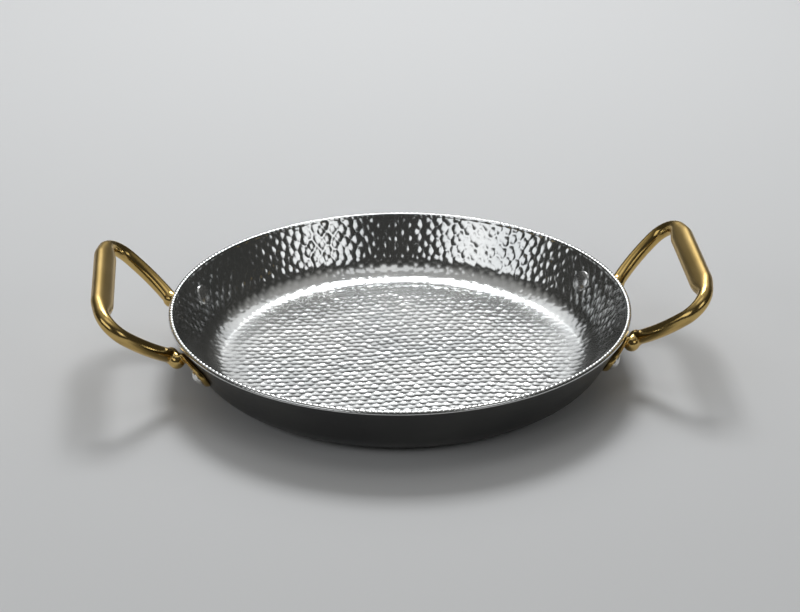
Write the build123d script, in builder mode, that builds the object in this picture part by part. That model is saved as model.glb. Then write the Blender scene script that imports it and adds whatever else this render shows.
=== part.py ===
from build123d import *
from math import acos, asin, atan2, cos, degrees, hypot, radians, sin, sqrt
import os

# Shallow two-handled pan of hammered steel. Two loop handles stand out at its ends,
# along X, and each is held to the wall by two rivets. The origin is the middle of the
# underside. Sizes are in millimetres and angles in degrees.

# Pan: one sheet with a flat floor, a round corner, a straight sloping wall and a bead.
# The flat floor ends flat_inset inside the rim.
rim_radius = 130.0
pan_height = 36.0
flat_inset = 34.0
corner_radius = 24.5
sheet_thickness = 2.6
bead_radius = 1.7

# Rivets: a low domed head inside the pan and a smaller formed head on the flange
rivet_height = 21.5
rivet_half_spacing = 50.0
shank_radius = 2.5
inner_head_radius = 6.2
inner_head_height = 1.7
outer_head_radius = 4.6
outer_head_height = 2.2
head_edge = 0.5
hole_clearance = 0.1
seat_clearance = 0.1

# Handle: a round rod bent to a loop that slopes up, widened to an oval at the grip
rod_radius = 4.1
loop_tilt = 40.0
elbow_drop = 9.0
elbow_standoff = 8.1
elbow_half_spacing = 36.0
loop_reach = 46.8
loop_half_width = 58.3
leg_bend_out = 13.1
leg_bend_half_width = 47.7
leg_bend_radius = 76.0
corner_bend_radius = 13.0
grip_width = 14.4
grip_thickness = 8.6
grip_taper = 16.0
grip_end_gap = 4.0

# Handle ends: a knuckle turns each leg back into a flange that lies on the wall
neck_radius = 4.3
knuckle_radius = 4.7
knuckle_drop = 1.6
knuckle_standoff = 6.7
knuckle_shift = 3.2
flange_thickness = 3.0
flange_end_radius = 8.0
flange_root_radius = 5.2

# Wall line: tangent to the corner arc and through the centre of the rim bead
flat_radius = rim_radius - flat_inset
bead_x = rim_radius - bead_radius
bead_z = pan_height - bead_radius
half_sheet = sheet_thickness / 2
middle_corner_radius = corner_radius - half_sheet
bead_distance = hypot(bead_x - flat_radius, bead_z - corner_radius)
normal_angle = degrees(
    atan2(bead_z - corner_radius, bead_x - flat_radius)
    - acos(middle_corner_radius / bead_distance)
)
normal_x = cos(radians(normal_angle))
normal_z = sin(radians(normal_angle))
outer_seat = half_sheet + seat_clearance
flange_face = outer_seat + flange_thickness


def wall_point(height, offset):
    # Point (radius, height) on the wall's middle line, moved out by offset
    along = (height - bead_z) / normal_x
    middle = bead_x - along * normal_z
    return middle + offset * normal_x, height + offset * normal_z


def wall_radius(height, offset):
    # Radius, at exactly this height, of the surface that lies offset out from the middle
    return bead_x + (offset - (height - bead_z) * normal_z) / normal_x


def wall_strip(inner, outer):
    # Outline of the straight band between two offsets, long enough for every cut
    low, high = -pan_height, 2 * pan_height
    return [
        wall_point(low, inner),
        wall_point(low, outer),
        wall_point(high, outer),
        wall_point(high, inner),
    ]


def around(radius, height, half_spacing):
    # Point at this radius whose distance from the XZ plane is half_spacing
    return Vector(sqrt(radius**2 - half_spacing**2), half_spacing, height)


def normal_plane(point, side_x, side_y):
    # Plane on the wall at a point, mirrored to its side; its Z leaves the wall squarely
    turn = atan2(point.Y, point.X)
    origin = (side_x * point.X, side_y * point.Y, point.Z)
    outward = (side_x * cos(turn) * normal_x, side_y * sin(turn) * normal_x, normal_z)
    sideways = (-side_y * sin(turn), side_x * cos(turn), 0)
    return Plane(origin=origin, x_dir=sideways, z_dir=outward)


rivet_point = around(wall_radius(rivet_height, half_sheet), rivet_height, rivet_half_spacing)
sides = {"right": 1, "left": -1}
ends = {"front": -1, "back": 1}

# Pan
with BuildPart() as pan:
    with BuildSketch(Plane.XZ):
        with BuildLine():
            inner_radius = corner_radius - sheet_thickness
            arc_size = normal_angle + 90
            arc_center = (flat_radius, corner_radius)
            underside = Line((0, 0), (flat_radius, 0))
            outer_arc = CenterArc(arc_center, corner_radius, -90, arc_size)
            outer_wall = Line(outer_arc @ 1, wall_point(bead_z, half_sheet))
            inner_arc = CenterArc(arc_center, inner_radius, -90, arc_size)
            inner_wall = Line(inner_arc @ 1, wall_point(bead_z, -half_sheet))
            Line(outer_wall @ 1, inner_wall @ 1)
            floor_top = Line((0, sheet_thickness), inner_arc @ 0)
            Line(floor_top @ 0, underside @ 0)
        make_face()
        with Locations((bead_x, bead_z)):
            Circle(bead_radius)
    revolve(axis=Axis.Z)
    for side_x in sides.values():
        for side_y in ends.values():
            with Locations(normal_plane(rivet_point, side_x, side_y).offset(bead_radius)):
                Hole(shank_radius + hole_clearance, depth=2 * bead_radius + sheet_thickness)
pan.part.label = "pan"

# Loop plane of the right handle: X runs out and up, Y runs along the grip
elbow_height = pan_height - elbow_drop
elbow = around(
    wall_radius(elbow_height, half_sheet) + elbow_standoff, elbow_height, elbow_half_spacing
)
tilt_x = cos(radians(loop_tilt))
tilt_z = sin(radians(loop_tilt))
loop_plane = Plane(
    origin=(elbow.X, 0, elbow.Z), x_dir=(tilt_x, 0, tilt_z), z_dir=(-tilt_z, 0, tilt_x)
)
knuckle_height = elbow_height - knuckle_drop
knuckle = around(
    wall_radius(knuckle_height, half_sheet) + knuckle_standoff,
    knuckle_height,
    elbow_half_spacing + knuckle_shift,
)
ball_arc = 180 - degrees(asin(neck_radius / knuckle_radius))
grip_half_length = loop_half_width - corner_bend_radius - grip_end_gap

# Grip stations: position along the grip, width and thickness of the oval
rod_width = 2 * rod_radius
grip_stations = [
    (-grip_half_length, rod_width, rod_width),
    (-grip_half_length + grip_taper, grip_width, grip_thickness),
    (grip_half_length - grip_taper, grip_width, grip_thickness),
    (grip_half_length, rod_width, rod_width),
]


def handle_end(side_y):
    # Flange from under the knuckle to past the rivet, with the knuckle that stands on it
    rivet_plane = normal_plane(rivet_point, 1, side_y)
    elbow_end = Vector(elbow.X, side_y * elbow.Y, elbow.Z)
    knuckle_end = Vector(knuckle.X, side_y * knuckle.Y, knuckle.Z)
    foot = rivet_plane.to_local_coords(knuckle_end)
    turn_way = (knuckle_end - elbow_end).normalized()
    turn_length = (knuckle_end - elbow_end).length
    wall_way = -normal_plane(knuckle, 1, side_y).z_dir
    knuckle_plane = Plane(origin=elbow_end, x_dir=turn_way, z_dir=turn_way.cross(wall_way))
    with BuildPart() as end_piece:
        with BuildSketch(rivet_plane):
            Circle(flange_end_radius)
            with Locations((foot.X, foot.Y)):
                Circle(flange_root_radius)
            make_hull()
        extrude(amount=2 * flange_face, both=True)
        with BuildSketch(Plane.XZ):
            with BuildLine():
                Polyline(*wall_strip(outer_seat, flange_face), close=True)
            make_face()
        revolve(axis=Axis.Z, mode=Mode.INTERSECT)
        with BuildSketch(knuckle_plane):
            with BuildLine():
                wall_ball = CenterArc((turn_length, 0), knuckle_radius, 0, ball_arc)
                leg_ball = CenterArc((0, 0), knuckle_radius, 180 - ball_arc, ball_arc)
                Line(wall_ball @ 1, leg_ball @ 0)
                Line(leg_ball @ 1, wall_ball @ 0)
            make_face()
        revolve(axis=Axis(elbow_end, turn_way))
        with BuildSketch(Plane.XZ):
            with BuildLine():
                Polyline(*wall_strip(-2 * knuckle_radius, outer_seat), close=True)
            make_face()
        revolve(axis=Axis.Z, mode=Mode.SUBTRACT)
        with Locations(rivet_plane.offset(2 * flange_face)):
            Hole(shank_radius + hole_clearance, depth=2 * flange_face)
    return end_piece.part


front_end = handle_end(ends["front"])
back_end = handle_end(ends["back"])

# Right handle
with BuildPart() as handle_right:
    with BuildLine(loop_plane) as rod_path:
        FilletPolyline(
            (0, -elbow_half_spacing),
            (leg_bend_out, -leg_bend_half_width),
            (loop_reach, -loop_half_width),
            (loop_reach, loop_half_width),
            (leg_bend_out, leg_bend_half_width),
            (0, elbow_half_spacing),
            radius=[leg_bend_radius, corner_bend_radius, corner_bend_radius, leg_bend_radius],
        )
    with BuildSketch(Plane(origin=rod_path.line @ 0, z_dir=rod_path.line % 0)):
        Circle(rod_radius)
    sweep()
    for position, width, thickness in grip_stations:
        station = loop_plane.from_local_coords((loop_reach, position, 0))
        with BuildSketch(Plane(origin=station, x_dir=loop_plane.x_dir, z_dir=(0, 1, 0))):
            Ellipse(width / 2, thickness / 2)
    loft()
    add([front_end, back_end])
handle_right.part.label = "handle_right"

# Left handle: the same piece, turned half a circle about the pan's axis
with BuildPart() as handle_left:
    add(handle_right.part, rotation=(0, 0, 180))
handle_left.part.label = "handle_left"

# Rivet heads: seat on the rivet's axis, radius, height and the way the head points
inner_face = -sheet_thickness - seat_clearance
outer_face = seat_clearance + flange_thickness + seat_clearance
rivet_heads = [
    (inner_face, inner_head_radius, inner_head_height, -1),
    (outer_face, outer_head_radius, outer_head_height, 1),
]


def rivet(side_x, side_y):
    # Two domed heads cut to the surfaces that they lie on, joined by a shank
    seat_plane = normal_plane(rivet_point, side_x, side_y)
    profile_plane = Plane(
        origin=seat_plane.origin,
        x_dir=seat_plane.x_dir,
        z_dir=seat_plane.x_dir.cross(seat_plane.z_dir),
    )
    with BuildPart() as body:
        for seat, radius, height, way in rivet_heads:
            root = seat - way * flange_thickness / 2
            edge = seat + way * head_edge
            top = seat + way * height
            with BuildSketch(profile_plane):
                with BuildLine():
                    Polyline((0, top), (0, root), (radius, root), (radius, edge))
                    TangentArc((0, top), (radius, edge), tangent=(1, 0))
                make_face()
            revolve(axis=Axis(seat_plane.origin, seat_plane.z_dir))
        with BuildSketch(Plane.XZ):
            with BuildLine():
                Polyline(
                    *wall_strip(-half_sheet - seat_clearance, flange_face + seat_clearance),
                    close=True,
                )
            make_face()
        revolve(axis=Axis.Z, mode=Mode.SUBTRACT)
        with BuildSketch(seat_plane.offset(inner_face - head_edge)):
            Circle(shank_radius)
        extrude(amount=outer_face - inner_face + 2 * head_edge)
    return body.part


pieces = [pan.part, handle_right.part, handle_left.part]
for side, side_x in sides.items():
    for end, side_y in ends.items():
        pieces.append(rivet(side_x, side_y))
        pieces[-1].label = f"rivet_{side}_{end}"

os.makedirs("parts", exist_ok=True)
for piece in pieces:
    export_step(piece, f"parts/{piece.label}.step")
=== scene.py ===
import math
import random

import bpy
from mathutils import Matrix, Vector, kdtree


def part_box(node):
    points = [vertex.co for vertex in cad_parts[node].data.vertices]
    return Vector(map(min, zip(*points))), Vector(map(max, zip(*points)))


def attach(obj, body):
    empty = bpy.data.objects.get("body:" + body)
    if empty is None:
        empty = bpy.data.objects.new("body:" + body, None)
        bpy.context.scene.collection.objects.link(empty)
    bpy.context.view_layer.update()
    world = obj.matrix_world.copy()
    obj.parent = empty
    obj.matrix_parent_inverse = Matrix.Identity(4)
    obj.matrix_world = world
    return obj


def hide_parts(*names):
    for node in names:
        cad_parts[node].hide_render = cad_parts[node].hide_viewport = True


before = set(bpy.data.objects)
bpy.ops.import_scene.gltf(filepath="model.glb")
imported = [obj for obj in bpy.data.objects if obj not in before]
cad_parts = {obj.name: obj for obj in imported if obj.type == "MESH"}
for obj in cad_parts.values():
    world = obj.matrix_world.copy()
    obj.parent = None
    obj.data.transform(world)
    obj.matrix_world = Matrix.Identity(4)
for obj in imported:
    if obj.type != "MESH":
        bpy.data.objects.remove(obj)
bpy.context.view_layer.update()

# Two-handled hammered pan: one steel sheet, two gold-coloured loop handles, four rivets.
# Metres, in the frame's own axes: +X to the right handle, +Z up.

scene = bpy.context.scene
scene.view_settings.view_transform = "Standard"
random.seed(7)
mm = 0.001
riderBody = "root"


def makeObject(name, points, faces):
    mesh = bpy.data.meshes.new(name)
    mesh.from_pydata(points, [], faces)
    mesh.polygons.foreach_set("use_smooth", [True] * len(mesh.polygons))
    mesh.update()
    piece = bpy.data.objects.new(name, mesh)
    scene.collection.objects.link(piece)
    return piece


def smoothStep(low, high, value):
    t = min(1.0, max(0.0, (value - low) / (high - low)))
    return t * t * (3 - 2 * t)


# What all the metals share
finish = {
    "grainDetail": 3.0,
    "grainRoughness": 0.6,
    "scratchSharpness": 3.0,    # higher leaves fewer, crisper lines
    "fullScratch": 0.5,         # mask value at which the metal is at its roughest
    "driftDetail": 2.0,
    "driftLow": 0.35,           # cloud values where the drift starts and ends
    "driftHigh": 0.65,
}


def addSocket(group, name, kind, out=False):
    way = "OUTPUT" if out else "INPUT"
    group.interface.new_socket(name=name, in_out=way, socket_type=kind)


def startGroup(name):
    group = bpy.data.node_groups.new(name, "ShaderNodeTree")
    return group, group.nodes.new("NodeGroupInput"), group.nodes.new("NodeGroupOutput")


def makeScratchGroup():
    # Fine uneven marks, as a height and as a mask of the deepest
    group, given, result = startGroup("fineScratches")
    addSocket(group, "Vector", "NodeSocketVector")
    addSocket(group, "Scale", "NodeSocketFloat")
    addSocket(group, "Sharpness", "NodeSocketFloat")
    addSocket(group, "Height", "NodeSocketFloat", out=True)
    addSocket(group, "Mask", "NodeSocketFloat", out=True)
    nodes, links = group.nodes, group.links
    grain = nodes.new("ShaderNodeTexNoise")
    grain.inputs["Detail"].default_value = finish["grainDetail"]
    grain.inputs["Roughness"].default_value = finish["grainRoughness"]
    links.new(given.outputs["Vector"], grain.inputs["Vector"])
    links.new(given.outputs["Scale"], grain.inputs["Scale"])
    power = nodes.new("ShaderNodeMath")
    power.operation = "POWER"
    links.new(grain.outputs["Fac"], power.inputs[0])
    links.new(given.outputs["Sharpness"], power.inputs[1])
    links.new(grain.outputs["Fac"], result.inputs["Height"])
    links.new(power.outputs[0], result.inputs["Mask"])
    return group


def makeToneGroup():
    # Slow drift between two colours, as handled metal shows
    group, given, result = startGroup("toneDrift")
    addSocket(group, "Vector", "NodeSocketVector")
    addSocket(group, "Scale", "NodeSocketFloat")
    addSocket(group, "Colour A", "NodeSocketColor")
    addSocket(group, "Colour B", "NodeSocketColor")
    addSocket(group, "Colour", "NodeSocketColor", out=True)
    nodes, links = group.nodes, group.links
    cloud = nodes.new("ShaderNodeTexNoise")
    cloud.inputs["Detail"].default_value = finish["driftDetail"]
    links.new(given.outputs["Vector"], cloud.inputs["Vector"])
    links.new(given.outputs["Scale"], cloud.inputs["Scale"])
    spread = nodes.new("ShaderNodeMapRange")
    spread.inputs["From Min"].default_value = finish["driftLow"]
    spread.inputs["From Max"].default_value = finish["driftHigh"]
    links.new(cloud.outputs["Fac"], spread.inputs["Value"])
    blend = nodes.new("ShaderNodeMix")
    blend.data_type = "RGBA"
    links.new(spread.outputs["Result"], blend.inputs["Factor"])
    links.new(given.outputs["Colour A"], blend.inputs[6])
    links.new(given.outputs["Colour B"], blend.inputs[7])
    links.new(blend.outputs[2], result.inputs["Colour"])
    return group


scratchGroup = makeScratchGroup()
toneGroup = makeToneGroup()


def placeGroup(tree, group, values):
    node = tree.nodes.new("ShaderNodeGroup")
    node.node_tree = group
    for name, value in values.items():
        node.inputs[name].default_value = value
    return node


def metalMaterial(name, look):
    # Bare metal: drifting colour, uneven polish and fine scratches
    material = bpy.data.materials.new(name)
    material.use_nodes = True
    tree = material.node_tree
    links = tree.links
    shader = tree.nodes["Principled BSDF"]
    shader.inputs["Metallic"].default_value = 1.0
    place = tree.nodes.new("ShaderNodeTexCoord")
    where = place.outputs["Object"]
    lines = turnedPlace(tree, where, look["turnStretch"]) if "turnStretch" in look else where
    tone = placeGroup(
        tree,
        toneGroup,
        {"Scale": look["toneScale"], "Colour A": look["colourA"], "Colour B": look["colourB"]},
    )
    links.new(where, tone.inputs["Vector"])
    links.new(tone.outputs["Colour"], shader.inputs["Base Color"])
    scratch = placeGroup(
        tree,
        scratchGroup,
        {"Scale": look["scratchScale"], "Sharpness": finish["scratchSharpness"]},
    )
    links.new(lines, scratch.inputs["Vector"])
    polish = tree.nodes.new("ShaderNodeMapRange")
    polish.inputs["From Max"].default_value = finish["fullScratch"]
    polish.inputs["To Min"].default_value = look["roughLow"]
    polish.inputs["To Max"].default_value = look["roughHigh"]
    links.new(scratch.outputs["Mask"], polish.inputs["Value"])
    rough = polish.outputs["Result"]
    if "satin" in look:
        rough = satinZone(tree, where, rough, look["satin"])
    links.new(rough, shader.inputs["Roughness"])
    bump = tree.nodes.new("ShaderNodeBump")
    bump.inputs["Strength"].default_value = look["bumpStrength"]
    bump.inputs["Distance"].default_value = look["bumpDepth"]
    links.new(scratch.outputs["Height"], bump.inputs["Height"])
    links.new(bump.outputs["Normal"], shader.inputs["Normal"])
    return material


def turnedPlace(tree, where, stretch):
    # (radius, turn, height), so that marks run round the pan's axis without a seam
    links = tree.links
    split = tree.nodes.new("ShaderNodeSeparateXYZ")
    links.new(where, split.inputs[0])
    turn = tree.nodes.new("ShaderNodeMath")
    turn.operation = "ARCTAN2"
    links.new(split.outputs["Y"], turn.inputs[0])
    links.new(split.outputs["X"], turn.inputs[1])
    folded = tree.nodes.new("ShaderNodeMath")
    folded.operation = "ABSOLUTE"
    links.new(turn.outputs[0], folded.inputs[0])
    scaled = tree.nodes.new("ShaderNodeMath")
    scaled.operation = "MULTIPLY"
    links.new(folded.outputs[0], scaled.inputs[0])
    scaled.inputs[1].default_value = stretch
    level = tree.nodes.new("ShaderNodeCombineXYZ")
    links.new(split.outputs["X"], level.inputs["X"])
    links.new(split.outputs["Y"], level.inputs["Y"])
    length = tree.nodes.new("ShaderNodeVectorMath")
    length.operation = "LENGTH"
    links.new(level.outputs[0], length.inputs[0])
    joined = tree.nodes.new("ShaderNodeCombineXYZ")
    links.new(length.outputs["Value"], joined.inputs["X"])
    links.new(scaled.outputs[0], joined.inputs["Y"])
    links.new(split.outputs["Z"], joined.inputs["Z"])
    return joined.outputs[0]


def satinZone(tree, where, polished, zone):
    # Rougher along the middle of each grip, where the hand holds it
    links = tree.links
    split = tree.nodes.new("ShaderNodeSeparateXYZ")
    links.new(where, split.inputs[0])

    def fade(socket, low, high, first, last):
        size = tree.nodes.new("ShaderNodeMath")
        size.operation = "ABSOLUTE"
        links.new(socket, size.inputs[0])
        ramp = tree.nodes.new("ShaderNodeMapRange")
        ramp.interpolation_type = "SMOOTHSTEP"
        ramp.inputs["From Min"].default_value = low
        ramp.inputs["From Max"].default_value = high
        ramp.inputs["To Min"].default_value = first
        ramp.inputs["To Max"].default_value = last
        links.new(size.outputs[0], ramp.inputs["Value"])
        return ramp.outputs["Result"]

    innerX, halfLength, soft = zone["innerX"], zone["halfLength"], zone["fade"]
    outward = fade(split.outputs["X"], innerX, innerX + soft, 0.0, 1.0)
    along = fade(split.outputs["Y"], halfLength, halfLength + soft, 1.0, 0.0)
    both = tree.nodes.new("ShaderNodeMath")
    both.operation = "MULTIPLY"
    links.new(outward, both.inputs[0])
    links.new(along, both.inputs[1])
    mixed = tree.nodes.new("ShaderNodeMix")
    links.new(both.outputs[0], mixed.inputs["Factor"])
    links.new(polished, mixed.inputs["A"])
    mixed.inputs["B"].default_value = zone["roughness"]
    return mixed.outputs["Result"]


# Pan: a turned profile with hammer marks over its whole inside
pan = {
    "flatRadius": 96 * mm,
    "cornerRadius": 24.5 * mm,
    "sheet": 2.6 * mm,
    "bead": 1.7 * mm,
    "step": 0.65 * mm,          # spacing of the rings on the hammered side
    "plainStep": 1.6 * mm,      # and on the plain side
    "segments": 1280,
    "halveBelow": 70 * mm,      # inside this radius a ring has half the points, and so on
    "fewestPoints": 40,
    "beadRings": 14,
    "undersideRings": 24,
    "floorPitch": 5.1 * mm,     # from one hammer mark to the next
    "floorReach": 3.1 * mm,     # radius of one mark
    "floorDepth": 0.36 * mm,
    "floorSpread": (0.7, 1.25),     # shallowest and deepest, as shares of the depth
    "floorBend": (1.6 * mm, 17 * mm),       # how far the rows wander, and how soon
    "floorSway": (2.4 * mm, 26 * mm, 0.6),
    "floorBeyond": 16 * mm,     # the floor's marks go on this far up the round corner
    "spareRows": 3,
    "fadeStart": 80 * mm,       # the marks fade from here to the corner
    "wallLead": 12 * mm,        # the upright marks start this far below the straight wall
    "wallRow": 3.7 * mm,
    "firstRow": 0.3,            # height of the lowest row, in rows
    "wallMarks": 103,           # in each row
    "wallReach": 3.0 * mm,
    "wallSqueeze": 0.74,        # less than 1 makes the marks taller
    "wallDepth": 0.42 * mm,
    "wallSpread": (0.6, 1.25),
    "wallFade": 13 * mm,        # the marks deepen over this height
    "cornerDepth": 0.11 * mm,
    "rimMarks": 256,
    "rimDepth": 0.3 * mm,
    "rimGroove": 0.2,           # half the width of a groove, as a share of the spacing
    "rimFade": (1.0, 0.5),      # the grooves fade toward the outer side
    "nearMarks": 3,             # cups that shape any one point
    "jitter": 0.75 * mm,        # how far a mark strays on the floor
    "wallJitter": 1.3 * mm,     # and on the wall
    "ridge": 0.35,              # softness of the ridge between two cups
    "inside": {
        "toneScale": 22.0,
        "colourA": (0.60, 0.61, 0.61, 1),
        "colourB": (0.70, 0.70, 0.69, 1),
        "scratchScale": 700.0,
        "roughLow": 0.14,
        "roughHigh": 0.24,
        "bumpStrength": 0.12,
        "bumpDepth": 0.02 * mm,
    },
    "outside": {
        "turnStretch": 0.004,   # metres of pattern for each radian round the pan
        "toneScale": 16.0,
        # painted shade: both colours are near black to stand for the dark, shadowed floor the
        # outside mirrors, not steel's own colour
        "colourA": (0.10, 0.10, 0.10, 1),
        "colourB": (0.135, 0.135, 0.13, 1),
        "scratchScale": 1500.0,
        "roughLow": 0.28,
        "roughHigh": 0.42,
        "bumpStrength": 0.25,
        "bumpDepth": 0.02 * mm,
    },
}

panLow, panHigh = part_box("pan")
rimRadius = panHigh.x
panHeight = panHigh.z
beadX = rimRadius - pan["bead"]
beadZ = panHeight - pan["bead"]
halfSheet = pan["sheet"] / 2
middleRadius = pan["cornerRadius"] - halfSheet
reachX = beadX - pan["flatRadius"]
reachZ = beadZ - pan["cornerRadius"]
normalAngle = math.atan2(reachZ, reachX) - math.acos(middleRadius / math.hypot(reachX, reachZ))
wallNormal = Vector((math.cos(normalAngle), math.sin(normalAngle)))   # out and down
wallUp = Vector((-wallNormal.y, wallNormal.x))
wallFoot = Vector((pan["flatRadius"], pan["cornerRadius"])) + middleRadius * wallNormal
wallLength = (Vector((beadX, beadZ)) - wallFoot).length


def profile():
    # Rows of radius, height, outward normal, distance along the metal, hammered or not
    rows = []
    arc = normalAngle + math.pi / 2
    innerRadius = pan["cornerRadius"] - pan["sheet"]
    count = round(pan["flatRadius"] / pan["step"])
    for i in range(count):
        radius = pan["flatRadius"] * i / count
        rows.append((radius, pan["sheet"], 0.0, 1.0, radius, True))
    count = round(innerRadius * arc / pan["step"])
    for i in range(count):
        turn = arc * i / count
        radius = pan["flatRadius"] + innerRadius * math.sin(turn)
        height = pan["cornerRadius"] - innerRadius * math.cos(turn)
        along = pan["flatRadius"] + innerRadius * turn
        rows.append((radius, height, -math.sin(turn), math.cos(turn), along, True))
    arcEnd = pan["flatRadius"] + innerRadius * arc
    count = round(wallLength / pan["step"])
    for i in range(count):
        point = wallFoot - halfSheet * wallNormal + wallUp * (wallLength * i / count)
        along = arcEnd + wallLength * i / count
        rows.append((point.x, point.y, -wallNormal.x, -wallNormal.y, along, True))
    wallEnd = arcEnd + wallLength
    join = math.acos(halfSheet / pan["bead"]) / 2       # where the bead leaves the wall
    start = normalAngle + math.pi - join
    sweep = math.pi - 2 * join
    count = pan["beadRings"]
    for i in range(count + 1):
        turn = start - sweep * i / count
        radius = beadX + pan["bead"] * math.cos(turn)
        height = beadZ + pan["bead"] * math.sin(turn)
        rows.append((radius, height, math.cos(turn), math.sin(turn), wallEnd, True))
    count = round(wallLength / pan["plainStep"])
    for i in range(1, count + 1):
        point = wallFoot + halfSheet * wallNormal + wallUp * (wallLength * (1 - i / count))
        rows.append((point.x, point.y, wallNormal.x, wallNormal.y, 0, False))
    count = round(pan["cornerRadius"] * arc / pan["plainStep"])
    for i in range(1, count + 1):
        turn = arc * (1 - i / count)
        radius = pan["flatRadius"] + pan["cornerRadius"] * math.sin(turn)
        height = pan["cornerRadius"] * (1 - math.cos(turn))
        rows.append((radius, height, math.sin(turn), -math.cos(turn), 0, False))
    count = pan["undersideRings"]
    for i in range(1, count + 1):
        rows.append((pan["flatRadius"] * (1 - i / count), 0.0, 0.0, -1.0, 0, False))
    return rows, arcEnd, wallEnd


profileRows, arcEnd, wallEnd = profile()
wallStart = arcEnd - pan["wallLead"]


def floorMarks():
    # Staggered rows, bent and loosened so that they look struck by hand
    marks = []
    pitch = pan["floorPitch"]
    reach = pan["flatRadius"] + pan["floorBeyond"]
    rowPitch = pitch * math.sqrt(0.75)      # equal triangles
    count = math.ceil(reach / rowPitch) + pan["spareRows"]
    bend, bendLength = pan["floorBend"]
    sway, swayLength, swayStart = pan["floorSway"]
    loose = pan["jitter"]
    for row in range(-count, count + 1):
        for i in range(-count, count + 1):
            x = (i + 0.5 * (row % 2)) * pitch
            y = row * rowPitch
            x += bend * math.sin(y / bendLength) + random.uniform(-loose, loose)
            y += sway * math.sin(x / swayLength + swayStart) + random.uniform(-loose, loose)
            radius = math.hypot(x, y)
            if radius > reach:
                continue
            fade = smoothStep(pan["fadeStart"], pan["flatRadius"], radius)
            depth = pan["floorDepth"] * (1 - fade) + pan["cornerDepth"] * fade
            marks.append((Vector((x, y, 0)), depth * random.uniform(*pan["floorSpread"])))
    return marks


def wallMarks():
    # Upright ovals in staggered rows that climb the wall
    marks = []
    rows = round((wallEnd - wallStart) / pan["wallRow"])
    for row in range(rows + 1):
        along = wallStart + (wallEnd - wallStart) * (row + pan["firstRow"]) / rows
        grow = smoothStep(wallStart, wallStart + pan["wallFade"], along)
        depth = pan["cornerDepth"] + grow * (pan["wallDepth"] - pan["cornerDepth"])
        for i in range(pan["wallMarks"]):
            turn = math.tau * (i + 0.5 * (row % 2)) / pan["wallMarks"]
            turn += random.uniform(-1, 1) * pan["wallJitter"] / rimRadius
            high = along + random.uniform(-1, 1) * pan["wallJitter"]
            place = wallKey(turn, high)
            marks.append((place, depth * random.uniform(*pan["wallSpread"])))
    return marks


def wallKey(turn, along):
    # Place on a plain cylinder, squeezed in height so that an oval mark is round there
    height = along * pan["wallSqueeze"]
    return Vector((rimRadius * math.cos(turn), rimRadius * math.sin(turn), height))


def plantMarks(marks):
    tree = kdtree.KDTree(len(marks))
    for i, (place, depth) in enumerate(marks):
        tree.insert(place, i)
    tree.balance()
    return tree, [depth for place, depth in marks]


def dentAt(planted, place, reach):
    # Depth of the metal here: the lowest of the cups nearby, with soft ridges between
    tree, depths = planted
    value = 0.0
    for near, i, distance in tree.find_n(place, pan["nearMarks"]):
        depth = depths[i]
        cup = depth * (distance * distance / (reach * reach) - 1)
        soft = pan["ridge"] * depth
        gap = max(0.0, soft - abs(cup - value)) / soft
        value = min(cup, value) - gap * gap * soft / 4
    return value


def makePan():
    floorPlan = plantMarks(floorMarks())
    wallPlan = plantMarks(wallMarks())
    points, faces, rings = [], [], []
    for r, z, nr, nz, along, hammered in profileRows:
        if r == 0:
            push = dentAt(floorPlan, Vector((0, 0, 0)), pan["floorReach"]) if hammered else 0.0
            points.append((0.0, 0.0, z + nz * push))
            rings.append([len(points) - 1])
            continue
        count = pan["segments"]
        if not hammered:
            count //= 2
        while r < pan["halveBelow"] * count / pan["segments"] and count > pan["fewestPoints"]:
            count //= 2
        onBead = along == wallEnd and hammered
        ring = []
        for i in range(count):
            turn = math.tau * i / count
            push = 0.0
            if onBead:
                phase = (turn * pan["rimMarks"] / math.tau) % 1.0
                groove = max(0.0, 1 - min(phase, 1 - phase) / pan["rimGroove"])
                push = -pan["rimDepth"] * smoothStep(*pan["rimFade"], nr) * groove
            elif hammered:
                if along < wallStart:
                    flat = Vector((along * math.cos(turn), along * math.sin(turn), 0))
                    push = dentAt(floorPlan, flat, pan["floorReach"])
                else:
                    push = dentAt(wallPlan, wallKey(turn, along), pan["wallReach"])
            radius = r + nr * push
            ring.append(len(points))
            points.append((radius * math.cos(turn), radius * math.sin(turn), z + nz * push))
        rings.append(ring)
    plainFrom = 0
    for k in range(1, len(rings)):
        if profileRows[k][5]:
            plainFrom = len(faces)
        bridge(faces, rings[k - 1], rings[k])
    piece = makeObject("pan_shell", points, faces)
    piece.data.materials.append(insideSteel)
    piece.data.materials.append(outsideSteelPaintedShade)
    plain = [int(i >= plainFrom) for i in range(len(faces))]
    piece.data.polygons.foreach_set("material_index", plain)
    return piece


def bridge(faces, inner, outer):
    # Joins two rings whose counts are equal, one doubled, or one a single point
    a, b = len(inner), len(outer)
    if a == 1 or b == 1:
        centre, ring = (inner[0], outer) if a == 1 else (outer[0], inner)
        for i in range(len(ring)):
            pair = (ring[i], ring[(i + 1) % len(ring)])
            faces.append((centre, *pair) if a == 1 else (centre, pair[1], pair[0]))
        return
    fine, coarse = (inner, outer) if a >= b else (outer, inner)
    ratio = len(fine) // len(coarse)
    flip = a >= b
    for i in range(len(coarse)):
        c0, c1 = coarse[i], coarse[(i + 1) % len(coarse)]
        row = [fine[(i * ratio + k) % len(fine)] for k in range(ratio + 1)]
        if ratio == 1:
            face = (row[0], c0, c1, row[1])
            faces.append(face if flip else face[::-1])
            continue
        middle = ratio // 2
        shapes = [(row[k], c0, row[k + 1]) for k in range(middle)]
        shapes.append((row[middle], c0, c1))
        shapes += [(row[k], c1, row[k + 1]) for k in range(middle, ratio)]
        faces.extend(shape if flip else shape[::-1] for shape in shapes)


insideSteel = metalMaterial("hammered_steel", pan["inside"])
outsideSteelPaintedShade = metalMaterial("satin_steel_painted_shade", pan["outside"])
panShell = makePan()
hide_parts("pan")
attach(panShell, riderBody)
print("pan", len(panShell.data.vertices), "points")


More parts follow.
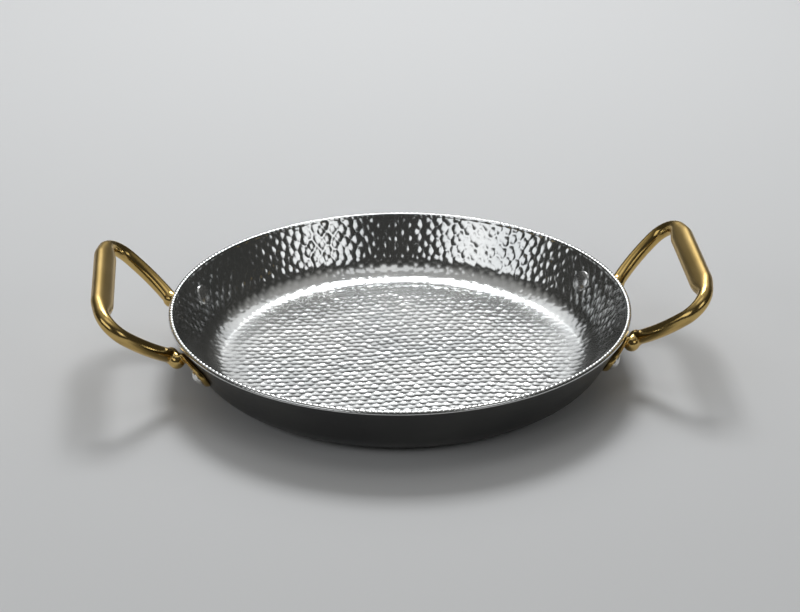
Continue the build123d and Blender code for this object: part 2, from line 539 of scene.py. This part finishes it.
# Handles: a bent rod with a broad grip, a knuckle at each end and a flange on the wall
handle = {
    "rod": 4.1 * mm,
    "gripHalfWidth": 6.7 * mm,
    "gripHalfThickness": 4.05 * mm,
    "gripSquareness": 2.7,      # 2 is an ellipse
    "gripHalfLength": 41.3 * mm,
    "gripTaper": 12 * mm,
    "gripRunOut": 6 * mm,       # the grip's shape ends this far past its length
    "gripInner": (12 * mm, 2 * mm),     # and fades in between these depths from the far side
    "tilt": math.radians(40),
    "elbow": (9.0 * mm, 8.1 * mm, 36.0 * mm),   # below the rim, off the wall, to the side
    "knuckle": (1.6 * mm, 6.7 * mm, 3.2 * mm),  # below the elbow, off the wall, to the side
    "knuckleSize": 4.7 * mm,
    "knuckleWaist": 0.25 * mm,
    "knuckleBalls": 5,
    # corners of the loop in millimetres, outward and along, and the bend at each
    "corners": [(0, -36), (13.1, -47.7), (46.8, -58.3), (46.8, 58.3), (13.1, 47.7), (0, 36)],
    "bends": [76, 13, 13, 76],
    "pathStep": 0.8 * mm,
    "fewestSteps": (2, 4),      # in a straight run and in a bend
    "rodSides": 40,
    "ballSides": 32,
    "flangeSeat": 0.15 * mm,
    "flangeTop": 3.05 * mm,
    "flangeEnd": 7.9 * mm,
    "flangeRoot": 5.1 * mm,
    # the flange's edge from the wall out: how far inside its outline, and how high
    "flangeEdge": [(0.0, 0.0), (0.0, 0.55), (0.3 * mm, 0.85), (0.9 * mm, 1.0)],
    "flangeSteps": 23,
    "wallGap": 0.12 * mm,
    "voxel": 0.42 * mm,
    "smoothing": 10,
    "smoothFactor": 0.5,
    "gold": {
        "toneScale": 30.0,
        "colourA": (0.54, 0.37, 0.125, 1),
        "colourB": (0.64, 0.45, 0.17, 1),
        "scratchScale": 1200.0,
        "roughLow": 0.15,
        "roughHigh": 0.27,
        "bumpStrength": 0.08,
        "bumpDepth": 0.02 * mm,
        "satin": {"innerX": 154 * mm, "halfLength": 42 * mm, "fade": 8 * mm, "roughness": 0.34},
    },
}

# Rivets: a broad low head in the pan and a formed head on the flange
rivets = {
    "height": 21.5 * mm,
    "halfSpacing": 50.0 * mm,
    "shank": 2.5 * mm,
    "sunk": 0.6 * mm,           # each head starts this far inside its seat
    "edge": 0.55 * mm,
    "edgeRound": 0.5,           # how much the edge leans in, as a share of its height
    "edgeSteps": 4,
    "crownSteps": 12,
    "sides": 64,
    "inner": (6.2 * mm, 1.7 * mm),      # radius and height of the head in the pan
    "outer": (4.6 * mm, 2.2 * mm),
    "innerGap": 0.05 * mm,      # between the wall and the head in the pan
    "seat": 3.2 * mm,           # from the outside of the wall to the head on the flange
    "steel": {
        "toneScale": 60.0,
        "colourA": (0.70, 0.70, 0.70, 1),
        "colourB": (0.80, 0.80, 0.79, 1),
        "scratchScale": 1600.0,
        "roughLow": 0.2,
        "roughHigh": 0.34,
        "bumpStrength": 0.1,
        "bumpDepth": 0.01 * mm,
    },
}


def wallRadius(height, offset):
    return beadX + (offset - (height - beadZ) * wallNormal.y) / wallNormal.x


def wallPoint(height, standoff, halfSpacing):
    # Point that stands this far, level, off the outside of the wall
    radius = wallRadius(height, halfSheet) + standoff
    return Vector((math.sqrt(radius * radius - halfSpacing * halfSpacing), halfSpacing, height))


def bentPath(corners, bends, step):
    # Evenly spaced points and directions along straight runs joined by arcs
    fewestRun, fewestBend = handle["fewestSteps"]
    runs = [Vector(c) * mm for c in corners]
    pieces = []
    start = runs[0]
    for i, bend in enumerate(bends):
        before = (runs[i + 1] - runs[i]).normalized()
        after = (runs[i + 2] - runs[i + 1]).normalized()
        turn = before.angle_signed(after)
        cut = bend * mm * math.tan(abs(turn) / 2)
        arcStart = runs[i + 1] - before * cut
        side = Vector((before.y, -before.x)) * (1 if turn > 0 else -1)
        centre = arcStart + side * bend * mm
        pieces.append(("run", start, arcStart, before))
        pieces.append(("arc", centre, arcStart, before, turn, bend * mm))
        start = runs[i + 1] + after * cut
    pieces.append(("run", start, runs[-1], (runs[-1] - start).normalized()))
    path = []
    for piece in pieces:
        if piece[0] == "run":
            count = max(fewestRun, round((piece[2] - piece[1]).length / step))
            for k in range(count):
                path.append((piece[1].lerp(piece[2], k / count), piece[3]))
        else:
            centre, first, before, turn, bend = piece[1:]
            count = max(fewestBend, round(bend * abs(turn) / step))
            for k in range(count):
                spin = Matrix.Rotation(-turn * k / count, 2)
                path.append((centre + spin @ (first - centre), spin @ before))
    path.append((runs[-1], pieces[-1][3]))
    return path


def shellFrom(rings, points, faces):
    # Closed skin over rings of equal count, with a fan at each end
    first = len(points)
    count = len(rings[0])
    for ring in rings:
        points.extend(ring)
    for k in range(len(rings) - 1):
        for i in range(count):
            a = first + k * count + i
            b = first + k * count + (i + 1) % count
            faces.append((a, b, b + count, a + count))
    for k, flip in ((0, True), (len(rings) - 1, False)):
        centre = sum(rings[k], Vector()) / count
        points.append(centre)
        for i in range(count):
            a = first + k * count + i
            b = first + k * count + (i + 1) % count
            faces.append((a, len(points) - 1, b) if flip else (a, b, len(points) - 1))


def ballRings(centre, radius, count):
    rings = []
    for k in range(1, count // 2):
        turn = math.tau * k / count
        size = radius * math.sin(turn)
        height = -radius * math.cos(turn)
        rings.append([
            centre + Vector((size * math.cos(a), size * math.sin(a), height))
            for a in (math.tau * i / count for i in range(count))
        ])
    return rings


def flangeRings(side):
    # Tapered plate wrapped on the cone of the wall, from past the rivet to the knuckle
    rivetAt = wallPoint(rivets["height"], 0, rivets["halfSpacing"])
    knuckleHeight = elbowAt.z - handle["knuckle"][0]
    knuckleAt = wallPoint(knuckleHeight, 0, handle["elbow"][2] + handle["knuckle"][2])
    base = math.atan2(rivetAt.y, rivetAt.x)
    across = (math.atan2(knuckleAt.y, knuckleAt.x) - base) * math.hypot(rivetAt.x, rivetAt.y)
    up = (knuckleAt.z - rivetAt.z) / wallNormal.x
    foot = Vector((across, up))
    lean = math.acos((handle["flangeEnd"] - handle["flangeRoot"]) / foot.length)
    heading = math.atan2(foot.y, foot.x)
    rings = []
    for inset, share in handle["flangeEdge"]:
        offset = handle["flangeSeat"] + share * (handle["flangeTop"] - handle["flangeSeat"])
        ring = []
        for centre, size, start, sweep in (
            (Vector((0, 0)), handle["flangeEnd"], lean, math.tau - 2 * lean),
            (foot, handle["flangeRoot"], -lean, 2 * lean),
        ):
            for k in range(handle["flangeSteps"] + 1):
                turn = heading + start + sweep * k / handle["flangeSteps"]
                flat = centre + (size - inset) * Vector((math.cos(turn), math.sin(turn)))
                height = rivetAt.z + flat.y * wallNormal.x
                radius = wallRadius(height, halfSheet) + offset / wallNormal.x
                angle = base + flat.x / math.hypot(rivetAt.x, rivetAt.y)
                x, y = radius * math.cos(angle), side * radius * math.sin(angle)
                ring.append(Vector((x, y, height)))
        rings.append(ring)
    return rings


elbowAt = wallPoint(panHeight - handle["elbow"][0], handle["elbow"][1], handle["elbow"][2])


def makeHandle():
    points, faces = [], []
    out = Vector((math.cos(handle["tilt"]), 0, math.sin(handle["tilt"])))
    square = Vector((-out.z, 0, out.x))
    origin = Vector((elbowAt.x, 0, elbowAt.z))
    rings = []
    reach = handle["corners"][2][0] * mm
    gripEnd = handle["gripHalfLength"] + handle["gripRunOut"]
    gripStart = handle["gripHalfLength"] - handle["gripTaper"]
    innerStart, innerEnd = handle["gripInner"]
    sides = handle["rodSides"]
    for place, way in bentPath(handle["corners"], handle["bends"], handle["pathStep"]):
        broad = smoothStep(gripEnd, gripStart, abs(place.y))
        broad *= smoothStep(reach - innerStart, reach - innerEnd, place.x)
        width = handle["rod"] + broad * (handle["gripHalfWidth"] - handle["rod"])
        depth = handle["rod"] + broad * (handle["gripHalfThickness"] - handle["rod"])
        power = 2 / (2 + broad * (handle["gripSquareness"] - 2))
        middle = origin + out * place.x + Vector((0, place.y, 0))
        sideways = out * way.y - Vector((0, way.x, 0))
        ring = []
        for k in range(sides):
            turn = math.tau * k / sides
            c, s = math.cos(turn), math.sin(turn)
            x = width * math.copysign(abs(c) ** power, c)
            y = depth * math.copysign(abs(s) ** power, s)
            ring.append(middle + sideways * x + square * y)
        rings.append(ring)
    shellFrom(rings, points, faces)
    for side in (-1, 1):
        elbow = Vector((elbowAt.x, side * elbowAt.y, elbowAt.z))
        drop, standoff, shift = handle["knuckle"]
        knuckle = wallPoint(elbowAt.z - drop, standoff, elbowAt.y + shift)
        knuckle.y *= side
        for k in range(handle["knuckleBalls"]):
            share = k / (handle["knuckleBalls"] - 1)
            size = handle["knuckleSize"] - handle["knuckleWaist"] * math.sin(math.pi * share)
            balls = ballRings(elbow.lerp(knuckle, share), size, handle["ballSides"])
            shellFrom(balls, points, faces)
        shellFrom(flangeRings(side), points, faces)
    rough = makeObject("handle_rough", points, faces)
    remesh = rough.modifiers.new("join", "REMESH")
    remesh.mode = "VOXEL"
    remesh.voxel_size = handle["voxel"]
    remesh.use_smooth_shade = True
    smooth = rough.modifiers.new("smooth", "SMOOTH")
    smooth.factor = handle["smoothFactor"]
    smooth.iterations = handle["smoothing"]
    evaluated = rough.evaluated_get(bpy.context.evaluated_depsgraph_get())
    mesh = bpy.data.meshes.new_from_object(evaluated)
    bpy.data.objects.remove(rough)
    for vertex in mesh.vertices:
        keepOffWall(vertex.co)
    return mesh


def keepOffWall(place):
    # The knuckle is cut flat where it would run into the wall
    radius = math.hypot(place.x, place.y)
    least = wallRadius(place.z, halfSheet) + handle["wallGap"]
    if radius < least:
        place.x *= least / radius
        place.y *= least / radius


goldPlate = metalMaterial("gold_plating", handle["gold"])
handleMesh = makeHandle()
handleMesh.materials.clear()
handleMesh.materials.append(goldPlate)
for name, turn in (("handle_right", 0), ("handle_left", math.pi)):
    mesh = handleMesh if turn == 0 else handleMesh.copy()
    mesh.transform(Matrix.Rotation(turn, 4, "Z"))
    piece = bpy.data.objects.new(name + "_loop", mesh)
    scene.collection.objects.link(piece)
    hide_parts(name)
    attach(piece, riderBody)
print("handles", len(handleMesh.vertices), "points each")


def headProfile(radius, height, seat, way):
    # (distance along the axis, radius) from the sunk underside to the crown
    edge = rivets["edge"]
    rows = [(seat - way * rivets["sunk"], radius)]
    lean = edge * rivets["edgeRound"]
    for k in range(rivets["edgeSteps"] + 1):
        turn = math.pi / 2 * k / rivets["edgeSteps"]
        rows.append((seat + way * edge * math.sin(turn), radius - lean * (1 - math.cos(turn))))
    rim = radius - lean
    for k in range(1, rivets["crownSteps"]):
        share = 1 - k / rivets["crownSteps"]
        rows.append((seat + way * (edge + (height - edge) * (1 - share * share)), rim * share))
    return rows


def makeRivet(name, sideX, sideY):
    at = wallPoint(rivets["height"], 0, rivets["halfSpacing"])
    turn = math.atan2(sideY * at.y, sideX * at.x)
    origin = Vector((sideX * at.x, sideY * at.y, at.z))
    axis = Vector((wallNormal.x * math.cos(turn), wallNormal.x * math.sin(turn), wallNormal.y))
    first = Vector((-math.sin(turn), math.cos(turn), 0))
    second = axis.cross(first)
    inner = headProfile(*rivets["inner"], -pan["sheet"] - rivets["innerGap"], -1)
    outer = headProfile(*rivets["outer"], rivets["seat"], 1)
    shank = [(inner[0][0], rivets["shank"]), (outer[0][0], rivets["shank"])]
    rings = []
    for along, radius in inner[::-1] + shank + outer:
        rings.append([
            origin + axis * along + radius * (first * math.cos(a) + second * math.sin(a))
            for a in (math.tau * i / rivets["sides"] for i in range(rivets["sides"]))
        ])
    points, faces = [], []
    shellFrom(rings, points, faces)
    piece = makeObject(name + "_stud", points, faces)
    piece.data.materials.append(rivetSteel)
    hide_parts(name)
    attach(piece, riderBody)


rivetSteel = metalMaterial("rivet_steel", rivets["steel"])
for sideName, sideX in (("right", 1), ("left", -1)):
    for endName, sideY in (("front", -1), ("back", 1)):
        makeRivet(f"rivet_{sideName}_{endName}", sideX, sideY)
print("rivets")


# A plain pale floor under soft panels
studio = {
    "floorSize": 6.0,
    "floorDrop": 0.1 * mm,      # below the pan's underside
    "floorColour": (0.74, 0.74, 0.74, 1),
    "floorRoughness": 0.9,
    "floorSpecular": 0.2,
    "lowGlow": (0.05, 0.05, 0.047, 1),  # what the metal sees of the room low down
    "highGlow": (0.42, 0.42, 0.41, 1),  # and overhead
    "glowWay": (0.0, 0.35, 0.94),       # the glow grows upward and a little back
    "glowFrom": 0.6,
    "glowTo": 0.95,
    "panelColour": (0.96, 0.98, 1.0),
    "panels": [
        # name, azimuth from the back, elevation, distance, width, height, radiance
        ("back_left", -24, 40, 2.6, 1.1, 1.1, 0.7),
        ("back_middle", 0, 38, 2.6, 1.1, 1.25, 0.64),
        ("back_right", 24, 40, 2.6, 1.1, 1.1, 0.58),
        ("front_left", 236, 33, 2.4, 2.2, 0.9, 1.3),
        ("front_right", 138, 33, 2.4, 1.1, 0.8, 1.3),
        ("overhead", 180, 85, 2.0, 1.1, 0.6, 0.6),
        ("key", 4, 53, 1.5, 0.5, 0.5, 13.5),
    ],
}


def makeFloor():
    half = studio["floorSize"] / 2
    square = [(-half, -half), (half, -half), (half, half), (-half, half)]
    corners = [(x, y, -studio["floorDrop"]) for x, y in square]
    floor = makeObject("floor", corners, [(0, 1, 2, 3)])
    material = bpy.data.materials.new("pale_floor")
    material.use_nodes = True
    shader = material.node_tree.nodes["Principled BSDF"]
    shader.inputs["Base Color"].default_value = studio["floorColour"]
    shader.inputs["Roughness"].default_value = studio["floorRoughness"]
    shader.inputs["Specular IOR Level"].default_value = studio["floorSpecular"]
    floor.data.materials.append(material)


def makePanel(name, azimuth, elevation, distance, width, height, radiance):
    light = bpy.data.lights.new(name, "AREA")
    light.shape = "RECTANGLE"
    light.color = studio["panelColour"]
    light.size = width
    light.size_y = height
    light.energy = radiance * math.pi * width * height
    level = math.cos(math.radians(elevation))
    way = Vector((
        math.sin(math.radians(azimuth)) * level,
        math.cos(math.radians(azimuth)) * level,
        math.sin(math.radians(elevation)),
    ))
    lamp = bpy.data.objects.new(name, light)
    lamp.location = way * distance
    lamp.rotation_euler = way.to_track_quat("Z", "Y").to_euler()
    scene.collection.objects.link(lamp)


makeFloor()
for panel in studio["panels"]:
    makePanel(*panel)


def makeWorld():
    # A soft studio: dark low down, paler overhead
    world = bpy.data.worlds.new("studio")
    world.use_nodes = True
    tree = world.node_tree
    place = tree.nodes.new("ShaderNodeTexCoord")
    toward = tree.nodes.new("ShaderNodeVectorMath")
    toward.operation = "DOT_PRODUCT"
    tree.links.new(place.outputs["Generated"], toward.inputs[0])
    toward.inputs[1].default_value = studio["glowWay"]
    spread = tree.nodes.new("ShaderNodeMapRange")
    spread.interpolation_type = "SMOOTHSTEP"
    spread.inputs["From Min"].default_value = studio["glowFrom"]
    spread.inputs["From Max"].default_value = studio["glowTo"]
    tree.links.new(toward.outputs["Value"], spread.inputs["Value"])
    blend = tree.nodes.new("ShaderNodeMix")
    blend.data_type = "RGBA"
    blend.inputs[6].default_value = studio["lowGlow"]
    blend.inputs[7].default_value = studio["highGlow"]
    tree.links.new(spread.outputs["Result"], blend.inputs["Factor"])
    tree.links.new(blend.outputs[2], tree.nodes["Background"].inputs["Color"])
    scene.world = world


makeWorld()

# The photograph's viewing angle
view = {
    "azimuth": math.radians(-4.28),
    "elevation": math.radians(25.97),
    "distance": 1431.5 * mm,
    "target": (0, 0, 25 * mm),
    "lift": math.radians(0.3466),       # the camera aims this much over the target
    "roll": math.radians(-0.27),
    "lens": 114.19,
}


def makeCamera():
    level = math.cos(view["elevation"])
    away = Vector((
        math.sin(view["azimuth"]) * level,
        -math.cos(view["azimuth"]) * level,
        math.sin(view["elevation"]),
    ))
    data = bpy.data.cameras.new("camera")
    data.lens = view["lens"]
    camera = bpy.data.objects.new("camera", data)
    scene.collection.objects.link(camera)
    ahead = -away
    right = ahead.cross(Vector((0, 0, 1))).normalized()
    up = right.cross(ahead)
    ahead = ahead * math.cos(view["lift"]) + up * math.sin(view["lift"])
    up = right.cross(ahead)
    right, up = (
        right * math.cos(view["roll"]) + up * math.sin(view["roll"]),
        up * math.cos(view["roll"]) - right * math.sin(view["roll"]),
    )
    turn = Matrix((right, up, -ahead)).transposed().to_4x4()
    place = Vector(view["target"]) + away * view["distance"]
    camera.matrix_world = Matrix.Translation(place) @ turn
    scene.camera = camera


makeCamera()
print("stage and camera")
